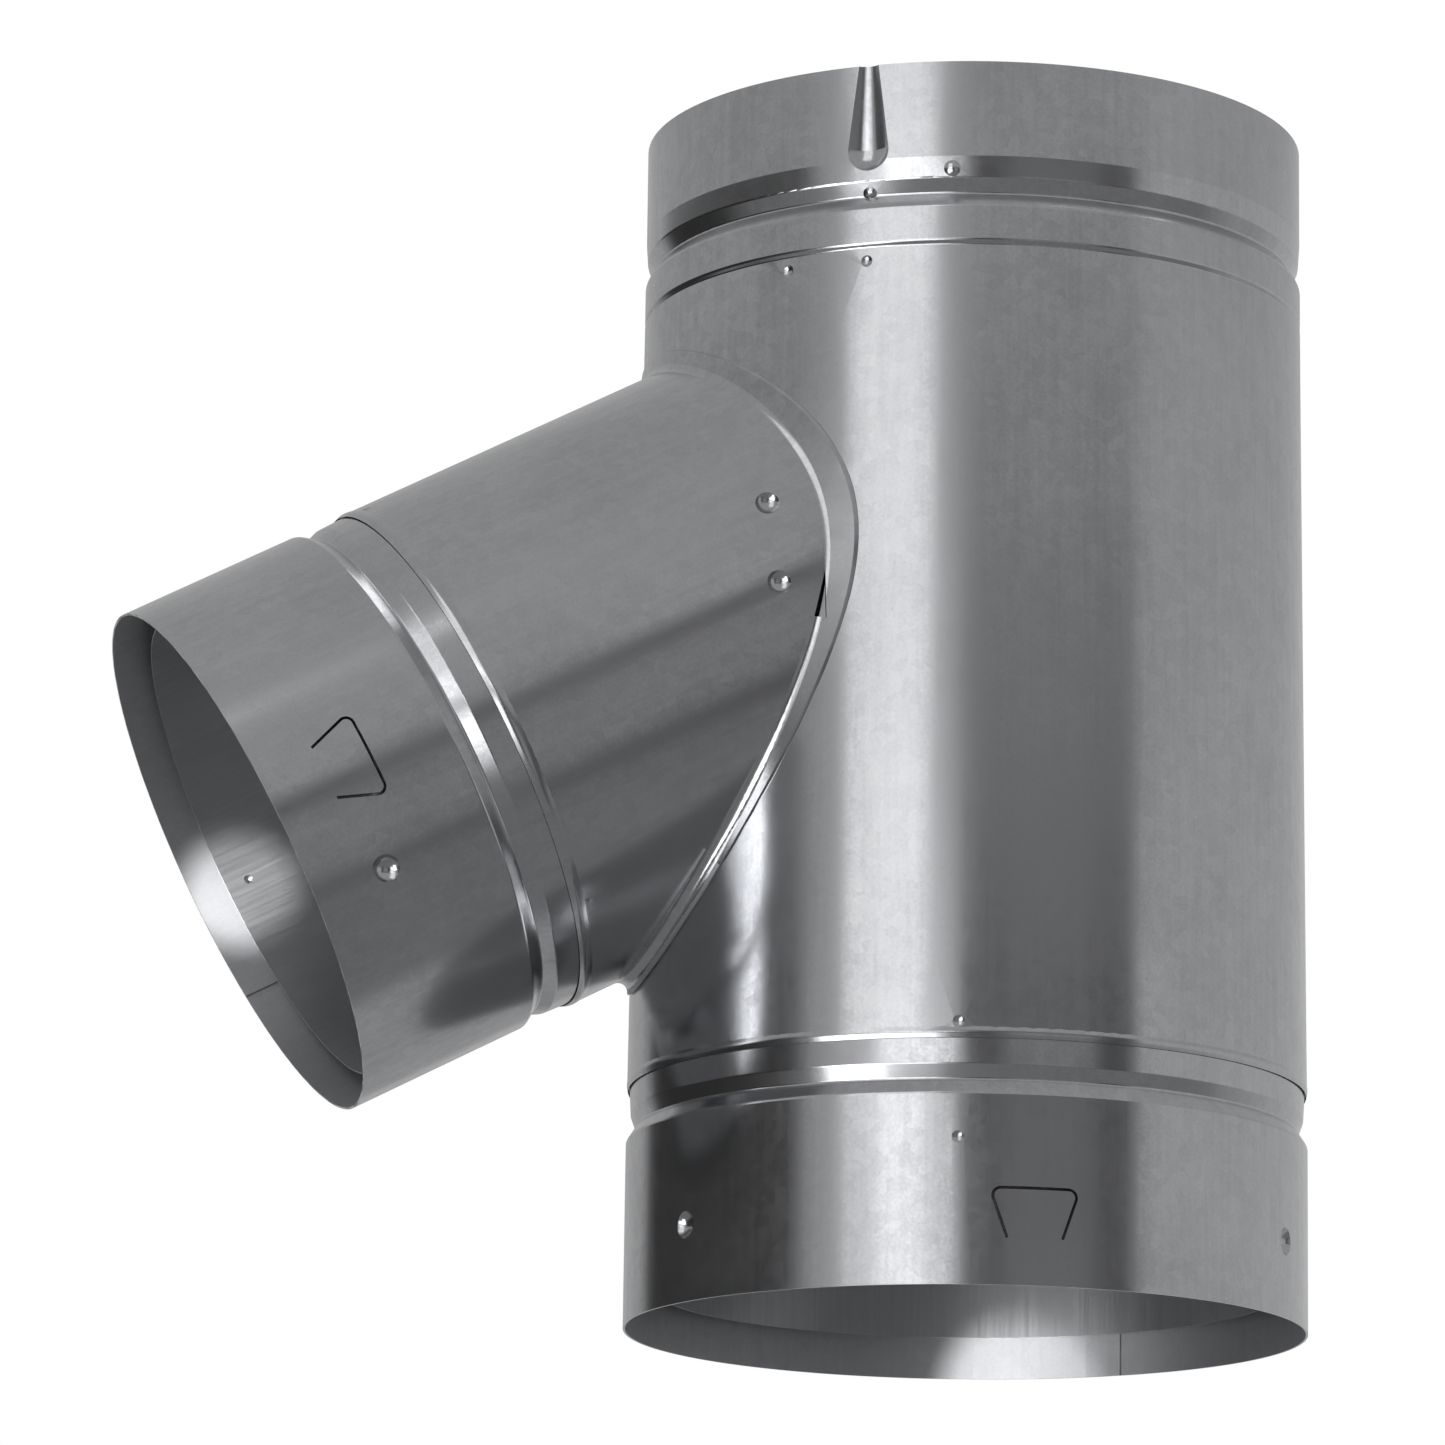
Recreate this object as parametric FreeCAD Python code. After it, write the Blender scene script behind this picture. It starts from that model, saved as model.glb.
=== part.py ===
import FreeCAD, Part
import math
import os
from FreeCAD import Placement, Rotation, Vector

# Double-wall gas vent wye: a galvanised outer shell round an aluminium flue liner, with air between.
# Frame: +Z runs up the run's axis, the origin is the centre of the run's bottom rim, and the branch
# leaves towards -X and down. All lengths are in millimetres and all angles in degrees.

# Sheet
shell_sheet = 0.45
liner_sheet = 0.30
nest_clearance = 0.05
bend_radius = 0.8

# Flue liner
run_liner_bore = 63.5
branch_step = 13.0
liner_fit_clearance = 0.25
run_liner_recess = 8.0
branch_liner_recess = 6.5
spigot_liner_setback = 3.0
liner_swage_length = 34.0
liner_swage_taper = 3.0
liner_bead_start = 42.0
liner_bead_half = 2.0
liner_bead_rise = 1.2
liner_flange_width = 6.4
stake_press_radius = 1.6
stake_depth = 0.4
stake_height = 11.5
stake_angle = 91.8

# Air between liner and shell
run_air_gap = 5.1
branch_air_gap = 4.45

# Outer shell
branch_angle = 62.0
body_spread = 1.05
socket_flare = 0.1
spigot_draw = 0.1
neck_length = 10.0
saddle_gap_below = 9.15
saddle_gap_above = 2.02
branch_neck_gap = 4.35

# Rolled collars: a plain end, a groove, and a band that leans in towards the groove
run_socket_plain = 38.3
branch_socket_plain = 38.8
spigot_plain = 20.1
groove_depth = 2.0
groove_half_width = 3.05
socket_band_width = 5.6
spigot_band_width = 4.35
band_drop = 0.3
shoulder_width = 8.45
joggle_length = 0.8

# Twist lock: inward lugs on each socket, entry channels, peaks and stop bosses on the spigot
lock_count = 3
lug_press_radius = 3.3
lug_depth = 1.6
lug_height = 15.6
run_lug_angle = -36.3
branch_lug_angle = -69.2
channel_nose_radius = 6.3
channel_nose_depth = 1.9
channel_nose_setback = 18.0
channel_rim_radius = 3.2
channel_rim_depth = 0.8
channel_angle = -121.3
peak_press_radius = 2.4
peak_rise = 1.1
stop_press_radius = 2.6
stop_rise = 0.45
stop_setback = 22.6
stop_angle_from_channel = 14.6

# Three-sided lanced lock tab in each socket: the wide edge is free, the narrow edge is the hinge
tab_wide_half = 9.1
tab_narrow_half = 5.6
tab_length = 10.0
tab_corner = 1.6
tab_slot = 0.6
run_tab_height = 9.4
run_tab_angle = -92.0
branch_tab_height = 12.2
branch_tab_angle = -92.4

# Clinch spots, which fasten each collar's neck under its body
clinch_press_radius = 1.9
clinch_depth = 0.45
clinch_from_edge = 2.6
run_clinch_angle = -104.6
branch_clinch_angle = -41.3
spigot_clinch_gap_angle = 14.8
collar_spot_from_edge = 8.9

# Seams
seam_lap = 8.0
seam_slit = 0.3
run_socket_seam_angle = 50.0
branch_socket_seam_angle = 70.0
spigot_seam_angle = 82.0
lock_seam_width = 6.5
lock_seam_open = 0.15
run_lock_seam_angle = 68.0
branch_lock_seam_angle = 62.0
liner_seam_width = 5.0
liner_seam_angle = 75.0

# Saddle, where the branch meets the run
saddle_flare_radius = 2.2
saddle_flange_width = 3.4
stub_rise = 12.0
stub_flange_width = 3.0
stub_end_clearance = 2.0
dimple_press_radius = 3.0
dimple_depth = 1.3
dimple_inset = 12.0
dimple_angles = (74.9, 91.4)
notch_width = 2.2
notch_length = 10.0
notch_inset = 0.5
notch_angle = 101.5
notch_slant = 33.0

# Rivets through the liner's flange
rivet_count = 8
rivet_shank_radius = 1.55
rivet_head_radius = 2.3
rivet_head_height = 0.8
rivet_tail_height = 0.5

# Spacer clips between liner and shell
clip_length = 15.0
clip_foot = 6.0
clip_arc_width = 12.0
bottom_clip_gap = 2.0
top_clip_gap = 1.5
branch_clip_gap = 1.0
bottom_clip_angles = (45.0, 135.0, -45.0, -135.0)
top_clip_angles = (45.0, 120.0, -45.0, -120.0)
branch_clip_angles = (62.0, 140.0, -62.0, -140.0)

# Worked out from the sizes above: radii from the flue outwards
overrun = 3.0
run_liner_outer = run_liner_bore + liner_sheet
branch_liner_bore = run_liner_bore - branch_step
branch_liner_outer = branch_liner_bore + liner_sheet
body_top_radius = run_liner_outer + run_air_gap + shell_sheet
body_bottom_radius = body_top_radius + body_spread
socket_radius = body_bottom_radius + socket_flare
spigot_radius = body_top_radius - spigot_draw
branch_radius = branch_liner_outer + branch_air_gap + shell_sheet
stub_outer = branch_radius - shell_sheet - nest_clearance

# Worked out: heights up the run, set by the saddle that the body has to hold
branch_sine = math.sin(math.radians(branch_angle))
branch_tangent = math.tan(math.radians(branch_angle))
run_groove_height = run_socket_plain + groove_half_width
body_bottom = run_groove_height + groove_half_width + socket_band_width
saddle_half_height = (stub_outer + stub_flange_width) / branch_sine
saddle_drop = body_bottom_radius / branch_tangent
saddle_middle = body_bottom + neck_length + saddle_gap_below + saddle_half_height
branch_crossing_height = saddle_middle + saddle_drop
body_top = saddle_middle + saddle_half_height + saddle_gap_above + neck_length
spigot_groove_height = body_top + shoulder_width + groove_half_width
spigot_band_end = spigot_groove_height + groove_half_width + spigot_band_width
run_height = spigot_band_end + spigot_plain
body_taper = body_spread / (body_top - body_bottom)

# Worked out: the branch's length, from the axes' crossing to its rim
branch_groove_height = branch_socket_plain + groove_half_width
branch_body_start = branch_groove_height + groove_half_width + socket_band_width
branch_heel = branch_body_start + neck_length + branch_neck_gap
branch_length = branch_heel + body_bottom_radius / branch_sine + branch_radius / branch_tangent
branch_rim = Vector(
    -branch_length * branch_sine,
    0,
    branch_crossing_height - branch_length * math.cos(math.radians(branch_angle)),
)
# The branch frame has its origin at the branch's rim and +Z along the branch, into the fitting
branch_frame = Placement(branch_rim, Rotation(Vector(0, 1, 0), branch_angle))
half_turn = 180.0

up = Vector(0, 0, 1)
origin = Vector(0, 0, 0)


def body_radius(height):
    """Outside radius of the run's tapered body at a height."""
    return body_bottom_radius - body_taper * (height - body_bottom)


def offset_edges(points, offset, bend=bend_radius):
    """A path of straight runs and tangent bends in the XZ plane, moved outwards (+X when it runs up).

    points are (radius, height) pairs. Returns the edges in order and the path's two end points.
    """
    corners = [Vector(r, 0, z) for r, z in points]
    runs = [(b - a).normalize() for a, b in zip(corners, corners[1:])]
    normals = [Vector(d.z, 0, -d.x) for d in runs]
    edges = []
    start = corners[0] + normals[0] * offset
    here = start
    for i in range(1, len(corners) - 1):
        turn = runs[i - 1].getAngle(runs[i])
        tangent = bend * math.tan(turn / 2)
        middle_normal = (normals[i - 1] + normals[i]).normalize()
        outwards = 1 if runs[i - 1].cross(runs[i]).y < 0 else -1
        centre = corners[i] - middle_normal * (outwards * bend / math.cos(turn / 2))
        arc_from = corners[i] - runs[i - 1] * tangent + normals[i - 1] * offset
        arc_mid = centre + middle_normal * (outwards * bend + offset)
        arc_to = corners[i] + runs[i] * tangent + normals[i] * offset
        edges.append(Part.LineSegment(here, arc_from).toShape())
        edges.append(Part.Arc(arc_from, arc_mid, arc_to).toShape())
        here = arc_to
    end = corners[-1] + normals[-1] * offset
    edges.append(Part.LineSegment(here, end).toShape())
    return edges, start, end


def strip_face(points, outer, inner, bend=bend_radius):
    """The flat section of a sheet between two offsets of one path."""
    left, a, b = offset_edges(points, outer, bend)
    right, c, d = offset_edges(points, inner, bend)
    caps = [Part.LineSegment(a, c).toShape(), Part.LineSegment(b, d).toShape()]
    return Part.Face(Part.Wire(Part.sortEdges(left + right + caps)[0]))


def filled(points, offset, extend=0.0, bend=bend_radius):
    """The solid of revolution inside one offset of a path, longer by extend at both ends."""
    edges, start, end = offset_edges(points, offset, bend)
    low = start - up * extend
    high = end + up * extend
    rim = [Part.LineSegment(Vector(0, 0, low.z), low).toShape()]
    rim.append(Part.LineSegment(high, Vector(0, 0, high.z)).toShape())
    rim.append(Part.LineSegment(Vector(0, 0, high.z), Vector(0, 0, low.z)).toShape())
    if extend > 0:
        rim.append(Part.LineSegment(low, start).toShape())
        rim.append(Part.LineSegment(end, high).toShape())
    face = Part.Face(Part.Wire(Part.sortEdges(edges + rim)[0]))
    return face.revolve(origin, up, 360)


def cut_all(shape, tools):
    """Cut a list of tools out of a shape."""
    return shape.cut(tools) if tools else shape


def pressed_sheet(points, sheet, dents=(), bumps=()):
    """A tube of sheet along a path, with dents and bumps that keep the wall's thickness.

    Each dent or bump is a function of a growth, which gives the pressing tool's solid grown by it.
    """
    outside = filled(points, sheet / 2)
    inside = filled(points, -sheet / 2, extend=overrun)
    outside = cut_all(outside, [press(0) for press in dents])
    inside = cut_all(inside, [press(sheet) for press in dents])
    for press in bumps:
        outside = outside.fuse(press(0))
        inside = inside.fuse(press(-sheet))
    return outside.cut(inside)


def ball_press(radius, height, angle, surface_radius, depth):
    """A ball that presses a dent of a depth into a tube's outside, or a bump outwards if depth is negative."""
    centre_radius = surface_radius - depth + radius
    if depth < 0:
        centre_radius = surface_radius - depth - radius

    def press(growth):
        ball = Part.makeSphere(radius + growth)
        ball.translate(Vector(centre_radius, 0, height))
        ball.rotate(origin, up, angle)
        return ball

    return press


def channel_press(angle):
    """A tapered bar that presses an entry channel, wide at its nose and narrow at the spigot's rim."""
    nose = Vector(spigot_radius - channel_nose_depth + channel_nose_radius, 0, run_height - channel_nose_setback)
    rim = Vector(spigot_radius - channel_rim_depth + channel_rim_radius, 0, run_height)
    line = rim - nose
    way = Vector(line).normalize()
    lean = (channel_nose_radius - channel_rim_radius) / line.Length

    def press(growth):
        wide = channel_nose_radius + growth
        narrow = channel_rim_radius + growth
        level = math.sqrt(1 - lean**2)
        foot = nose + way * (wide * lean)
        top = rim + way * (narrow * lean)
        bar = Part.makeCone(wide * level, narrow * level, (top - foot).Length, foot, way)
        balls = [Part.makeSphere(wide, nose), Part.makeSphere(narrow, rim)]
        tool = bar.fuse(balls)
        tool.rotate(origin, up, angle)
        return tool

    return press


def lap_seam(sheet_tube, points, sheet, angle, bottom, top):
    """Open the tube along one line and back it with a lapped strip of the same sheet."""
    radius = points[0][0]
    slit = Part.makeBox(3 * groove_depth + sheet, seam_slit, top - bottom + 2 * overrun)
    slit.translate(Vector(radius - 2 * groove_depth, -seam_slit / 2, bottom - overrun))
    slit.rotate(origin, up, angle)
    bite = 0.2 * sheet
    lap = strip_face(points, -sheet / 2 + bite, -1.5 * sheet)
    span = math.degrees(seam_lap / radius)
    strip = lap.revolve(origin, up, span)
    strip.rotate(origin, up, angle - 0.25 * span)
    return sheet_tube.cut(slit).fuse(strip)


def lock_seam(outer_radius, taper, bottom, top, sheet, width, angle):
    """A folded lock seam, proud of the tube by two sheets, with the fold's open edge on one side.

    The tube's outside radius is outer_radius at the bottom and loses taper for each unit of height.
    """

    def radius(height, rise):
        return outer_radius - taper * (height - bottom) + rise

    def band(rise_from, rise_to, span):
        corners = [
            Vector(radius(bottom, rise_from), 0, bottom),
            Vector(radius(bottom, rise_to), 0, bottom),
            Vector(radius(top, rise_to), 0, top),
            Vector(radius(top, rise_from), 0, top),
        ]
        face = Part.Face(Part.makePolygon(corners + corners[:1]))
        return face.revolve(origin, up, span)

    span = math.degrees(width / outer_radius)
    fold = band(-sheet / 2, 2 * sheet, span)
    gap = band(sheet - lock_seam_open / 2, sheet + lock_seam_open / 2, 0.8 * span)
    seam = fold.cut(gap)
    seam.rotate(origin, up, angle)
    return seam


def with_lanced_tab(collar, surface_radius, hinge_height, angle):
    """Cut a lock tab's three free sides through a collar."""
    wide_height = hinge_height + tab_length
    path = [
        (-tab_narrow_half, hinge_height),
        (-tab_wide_half, wide_height),
        (tab_wide_half, wide_height),
        (tab_narrow_half, hinge_height),
    ]
    slot = strip_face(path, tab_slot / 2, -tab_slot / 2, bend=tab_corner)
    slot = slot.extrude(Vector(0, -2 * groove_depth, 0))
    slot.translate(Vector(0, -surface_radius + groove_depth, 0))
    slot.rotate(origin, up, angle + 90)
    return collar.cut(slot)


def around(count, first):
    """Evenly spaced angles, starting at one."""
    return [first + 360.0 * i / count for i in range(count)]


def branch_to_row(shape):
    """Move a shape from the branch frame to the row frame."""
    return shape.transformed(branch_frame.toMatrix(), True)


def branch_cylinder(radius, start=-overrun):
    """A filled cylinder on the branch's axis, from a distance inside the rim to the run's axis."""
    length = branch_length - start
    return branch_to_row(Part.makeCylinder(radius, length, Vector(0, 0, start)))


def run_cone(rise):
    """The filled outside of the run's body, grown by a rise and longer than the run."""
    low = -overrun
    high = run_height + overrun
    return Part.makeCone(body_radius(low) + rise, body_radius(high) + rise, high - low, Vector(0, 0, low))


def run_cylinder(radius):
    """A filled cylinder on the run's axis, longer than the run."""
    return Part.makeCylinder(radius, run_height + 2 * overrun, Vector(0, 0, -overrun))


def distance_to_run(run_radius, branch_distance, angle):
    """How far along the branch, from its rim, a line beside its axis meets a radius of the run."""
    side = Vector(math.cos(math.radians(angle)), math.sin(math.radians(angle)), 0) * branch_distance
    base = branch_frame.multVec(side)
    along = branch_frame.Rotation.multVec(up)
    a = along.x**2 + along.y**2
    b = 2 * (base.x * along.x + base.y * along.y)
    c = base.x**2 + base.y**2 - run_radius**2
    return (-b - math.sqrt(b * b - 4 * a * c)) / (2 * a)


def on_run(run_radius, branch_distance, angle):
    """The point where that line meets that radius."""
    side = Vector(math.cos(math.radians(angle)), math.sin(math.radians(angle)), 0) * branch_distance
    return branch_frame.multVec(side + up * distance_to_run(run_radius, branch_distance, angle))


def socket_path(radius, groove_height, neck_outer, neck_taper):
    """Middle line of a socket's section, from its rim up into its body."""
    middle = radius - shell_sheet / 2
    neck = neck_outer - shell_sheet / 2
    band_start = groove_height + groove_half_width
    band_end = band_start + socket_band_width
    return [
        (middle, 0),
        (middle, groove_height - groove_half_width),
        (middle - groove_depth, groove_height),
        (neck - band_drop, band_start),
        (neck, band_end),
        (neck - neck_taper * neck_length, band_end + neck_length),
    ]


def clinches(height, angle_list, outer_radius, layer):
    """Clinch spots through two nested sheets. Layer 0 is the outer sheet and layer 1 the neck under it."""
    growth = layer * (shell_sheet + nest_clearance)
    spots = []
    for angle in angle_list:
        ball = ball_press(clinch_press_radius, height, angle, outer_radius, clinch_depth)
        spots.append(lambda extra, ball=ball: ball(growth + extra))
    return spots


def make_bottom_collar():
    neck_outer = body_radius(body_bottom) - shell_sheet - nest_clearance
    path = socket_path(socket_radius, run_groove_height, neck_outer, body_taper)
    dents = [
        ball_press(lug_press_radius, lug_height, angle, socket_radius, lug_depth)
        for angle in around(lock_count, run_lug_angle)
    ]
    spot = run_socket_plain - collar_spot_from_edge
    dents += [
        ball_press(clinch_press_radius, spot, angle, socket_radius, clinch_depth)
        for angle in around(lock_count, run_clinch_angle)
    ]
    height = body_bottom + clinch_from_edge
    dents += clinches(height, around(lock_count, run_clinch_angle), body_radius(height), 1)
    collar = pressed_sheet(path, shell_sheet, dents)
    top = body_bottom + neck_length
    collar = lap_seam(collar, path, shell_sheet, run_socket_seam_angle, 0, top)
    return with_lanced_tab(collar, socket_radius, run_tab_height, run_tab_angle)


def make_branch_collar():
    neck_outer = branch_radius - shell_sheet - nest_clearance
    path = socket_path(branch_radius, branch_groove_height, neck_outer, 0)
    dents = [
        ball_press(lug_press_radius, lug_height, angle, branch_radius, lug_depth)
        for angle in around(lock_count, branch_lug_angle)
    ]
    height = branch_body_start + clinch_from_edge
    dents += clinches(height, around(lock_count, branch_clinch_angle), branch_radius, 1)
    collar = pressed_sheet(path, shell_sheet, dents)
    top = branch_body_start + neck_length
    collar = lap_seam(collar, path, shell_sheet, branch_socket_seam_angle, 0, top)
    return branch_to_row(with_lanced_tab(collar, branch_radius, branch_tab_height, branch_tab_angle))


def spigot_clinch_angles():
    """Two clinch spots beside each entry channel."""
    pairs = around(lock_count, channel_angle)
    return pairs + [angle - spigot_clinch_gap_angle for angle in pairs]


def make_top_collar():
    middle = spigot_radius - shell_sheet / 2
    shoulder = body_top_radius - shell_sheet / 2
    neck = body_radius(body_top) - 1.5 * shell_sheet - nest_clearance
    groove = spigot_groove_height
    path = [
        (neck + body_taper * neck_length, body_top - neck_length),
        (neck, body_top + shell_sheet),
        (shoulder, body_top + shell_sheet + joggle_length),
        (shoulder, groove - groove_half_width),
        (middle - groove_depth, groove),
        (middle - band_drop, groove + groove_half_width),
        (middle, spigot_band_end),
        (middle, run_height),
    ]
    channels = around(lock_count, channel_angle)
    dents = [channel_press(angle) for angle in channels]
    height = body_top - clinch_from_edge
    dents += clinches(height, spigot_clinch_angles(), body_radius(height), 1)
    stops = around(lock_count, channel_angle + stop_angle_from_channel)
    stop_height = run_height - stop_setback
    bumps = [ball_press(stop_press_radius, stop_height, angle, spigot_radius, -stop_rise) for angle in stops]
    valley = spigot_radius - groove_depth
    peak_height = groove + groove_half_width / 2
    bumps += [ball_press(peak_press_radius, peak_height, angle, valley, -peak_rise) for angle in channels]
    collar = pressed_sheet(path, shell_sheet, dents, bumps)
    return lap_seam(collar, path, shell_sheet, spigot_seam_angle, body_top - neck_length, run_height)


def make_run_body():
    path = [
        (body_radius(body_bottom) - shell_sheet / 2, body_bottom),
        (body_radius(body_top) - shell_sheet / 2, body_top),
    ]
    low = body_bottom + clinch_from_edge
    high = body_top - clinch_from_edge
    dents = clinches(low, around(lock_count, run_clinch_angle), body_radius(low), 0)
    dents += clinches(high, spigot_clinch_angles(), body_radius(high), 0)
    body = pressed_sheet(path, shell_sheet, dents)
    seam = lock_seam(
        body_radius(body_bottom),
        body_taper,
        body_bottom,
        body_top,
        shell_sheet,
        lock_seam_width,
        run_lock_seam_angle,
    )
    hole = branch_cylinder(stub_outer + nest_clearance)
    return body.fuse(seam).cut(hole)


def saddle_edge(angle):
    """How far along the branch, from its rim, its outside meets the run's body, at an angle round it."""
    point = on_run(body_bottom_radius, branch_radius, angle)
    return distance_to_run(body_radius(point.z), branch_radius, angle)


def both_sides(angle):
    """One place on each side of the branch, at an angle measured down from its upper line."""
    return half_turn + angle, half_turn - angle


def saddle_dimples(layer):
    """Dimples that fasten the branch to its stub, as presses. Layer 0 is the branch and layer 1 the stub."""
    growth = layer * (shell_sheet + nest_clearance)
    presses = []
    for angle in dimple_angles:
        for side in both_sides(angle):
            distance = saddle_edge(side) - dimple_inset
            ball = ball_press(dimple_press_radius, distance, side, branch_radius, dimple_depth)
            presses.append(lambda extra, ball=ball: ball(growth + extra))
    return presses


def rounded_saddle(cone_rise, cylinder_radius, start, fillet_radius):
    """The filled run and branch, joined by a fillet all round the saddle."""
    joined = run_cone(cone_rise).fuse(branch_cylinder(cylinder_radius, start))
    ring = [edge for edge in joined.Edges if not isinstance(edge.Curve, (Part.Line, Part.Circle))]
    return joined.makeFillet(fillet_radius, ring)


def make_branch_body():
    start = branch_body_start
    height = start + clinch_from_edge
    dents = clinches(height, around(lock_count, branch_clinch_angle), branch_radius, 0) + saddle_dimples(0)
    inside_radius = branch_radius - shell_sheet
    inside_flare = saddle_flare_radius + shell_sheet
    outside = rounded_saddle(nest_clearance + shell_sheet, branch_radius, start, saddle_flare_radius)
    inside = rounded_saddle(nest_clearance, inside_radius, start - overrun, inside_flare)
    outside = outside.cut([branch_to_row(press(0)) for press in dents])
    inside = inside.cut([branch_to_row(press(shell_sheet)) for press in dents])
    body = outside.cut(inside).common(branch_cylinder(branch_radius + saddle_flange_width, start))
    end = saddle_edge(branch_lock_seam_angle) - saddle_flare_radius
    seam = lock_seam(branch_radius, 0, start, end, shell_sheet, lock_seam_width, branch_lock_seam_angle)
    return body.fuse(branch_to_row(seam)).cut(saddle_notches())


def saddle_notches():
    """The wedge-shaped openings at the ends of the saddle's lapped half, through branch and stub."""
    notches = []
    for side in both_sides(notch_angle):
        lean = notch_slant if side < half_turn else -notch_slant
        corners = [
            Vector(0, -notch_width / 2, 0),
            Vector(0, notch_width / 2, 0),
            Vector(0, 0, notch_length),
        ]
        wedge = Part.Face(Part.makePolygon(corners + corners[:1])).extrude(Vector(3 * groove_depth, 0, 0))
        wedge.rotate(origin, Vector(1, 0, 0), 90 + lean)
        wedge.translate(Vector(branch_radius - 2 * groove_depth, 0, saddle_edge(side) - notch_inset))
        wedge.rotate(origin, up, side)
        notches.append(branch_to_row(wedge))
    return notches


def make_saddle_stub():
    inner = stub_outer - shell_sheet
    start = branch_body_start + neck_length + stub_end_clearance
    middle = stub_outer - shell_sheet / 2
    path = [(middle, start), (middle, branch_length)]
    tube = branch_to_row(pressed_sheet(path, shell_sheet, saddle_dimples(1)))
    inside = -shell_sheet - nest_clearance
    tube = tube.common(run_cone(stub_rise)).cut(run_cone(inside - shell_sheet))
    flange = run_cone(inside).cut(run_cone(inside - shell_sheet))
    flange = flange.common(branch_cylinder(stub_outer + stub_flange_width))
    flange = flange.cut(branch_cylinder(inner))
    return tube.fuse(flange).cut(saddle_notches())


def rivet_points():
    """The middles of the liner's rivets, on the outside of the run's liner."""
    distance = branch_liner_outer + liner_flange_width / 2
    return [on_run(run_liner_outer, distance, angle) for angle in around(rivet_count, half_turn / rivet_count)]


def radial_cylinder(radius, point, inner, outer):
    """A cylinder that points away from the run's axis through a point, between two distances from the axis."""
    direction = Vector(point.x, point.y, 0).normalize()
    return Part.makeCylinder(radius, outer - inner, Vector(0, 0, point.z) + direction * inner, direction)


def rivet_holes():
    radius = rivet_shank_radius + nest_clearance
    low = run_liner_bore - overrun
    high = run_liner_outer + overrun
    return [radial_cylinder(radius, point, low, high) for point in rivet_points()]


def make_liner_rivets():
    outside = run_liner_outer + nest_clearance + liner_sheet
    top = outside + rivet_head_height
    tail = run_liner_bore - rivet_tail_height
    rivets = []
    for point in rivet_points():
        shank = radial_cylinder(rivet_shank_radius, point, tail, top)
        head = radial_cylinder(rivet_head_radius, point, run_liner_bore, top).cut(run_cylinder(outside))
        foot = radial_cylinder(rivet_head_radius, point, tail, run_liner_outer).common(
            run_cylinder(run_liner_bore)
        )
        rivets.append(shank.fuse([head, foot]).removeSplitter())
    return Part.makeCompound(rivets)


def liner_bead(middle):
    """Path points of a rolled bead that swells outwards."""
    return [
        (middle, liner_bead_start),
        (middle + liner_bead_rise, liner_bead_start + liner_bead_half),
        (middle, liner_bead_start + 2 * liner_bead_half),
    ]


def make_run_liner():
    middle = run_liner_outer - liner_sheet / 2
    swaged = run_liner_bore - liner_fit_clearance - liner_sheet / 2
    top = run_height - spigot_liner_setback
    swage_end = top - liner_swage_length
    path = [(middle, run_liner_recess)] + liner_bead(middle)
    path += [(middle, swage_end - liner_swage_taper), (swaged, swage_end), (swaged, top)]
    liner = pressed_sheet(path, liner_sheet)
    seam = lock_seam(
        run_liner_outer,
        0,
        liner_bead_start + 3 * liner_bead_half,
        swage_end - liner_swage_taper - liner_bead_half,
        liner_sheet,
        liner_seam_width,
        liner_seam_angle,
    )
    liner = liner.fuse(seam).cut(branch_cylinder(branch_liner_bore))
    return cut_all(liner, rivet_holes())


def make_branch_liner():
    middle = branch_liner_outer - liner_sheet / 2
    path = [(middle, branch_liner_recess)] + liner_bead(middle) + [(middle, branch_length)]
    stake = ball_press(
        stake_press_radius, stake_height, stake_angle, branch_liner_outer, -stake_depth
    )
    tube = branch_to_row(pressed_sheet(path, liner_sheet, bumps=[stake]))
    tube = tube.cut(run_cylinder(run_liner_outer + nest_clearance))
    flange = run_cylinder(run_liner_outer + nest_clearance + liner_sheet)
    flange = flange.cut(run_cylinder(run_liner_outer + nest_clearance))
    flange = flange.common(branch_cylinder(branch_liner_outer + liner_flange_width))
    flange = flange.cut(branch_cylinder(branch_liner_bore))
    return cut_all(tube.fuse(flange), rivet_holes())


def spacer_clip(inner_radius, outer_radius, start, angle):
    """A Z-shaped clip bent from strip: one foot on the liner, the other on the shell."""
    low = inner_radius + nest_clearance + shell_sheet / 2
    high = outer_radius - nest_clearance - shell_sheet / 2
    path = [
        (low, start),
        (low, start + clip_foot),
        (high, start + clip_length - clip_foot),
        (high, start + clip_length),
    ]
    span = math.degrees(clip_arc_width / inner_radius)
    clip = strip_face(path, shell_sheet / 2, -shell_sheet / 2).revolve(origin, up, span)
    clip.rotate(origin, up, angle - span / 2)
    return clip


def make_clips():
    """Every spacer clip by name: four below the branch, four above it and four round the branch."""
    clips = {}
    bottom_start = body_bottom + neck_length + bottom_clip_gap
    bottom_outer = body_radius(bottom_start + clip_length) - shell_sheet
    for i, angle in enumerate(bottom_clip_angles, 1):
        clips[f"bottom_spacer_clip_{i}"] = spacer_clip(run_liner_outer, bottom_outer, bottom_start, angle)
    top_start = body_top - neck_length - top_clip_gap - clip_length
    top_outer = body_radius(body_top - neck_length) - shell_sheet
    for i, angle in enumerate(top_clip_angles, 1):
        clips[f"top_spacer_clip_{i}"] = spacer_clip(run_liner_outer, top_outer, top_start, angle)
    branch_start = branch_body_start + neck_length - clip_foot + branch_clip_gap
    branch_outer = branch_radius - shell_sheet
    for i, angle in enumerate(branch_clip_angles, 1):
        clip = spacer_clip(branch_liner_outer, branch_outer, branch_start, angle)
        clips[f"branch_spacer_clip_{i}"] = branch_to_row(clip)
    return clips


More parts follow.
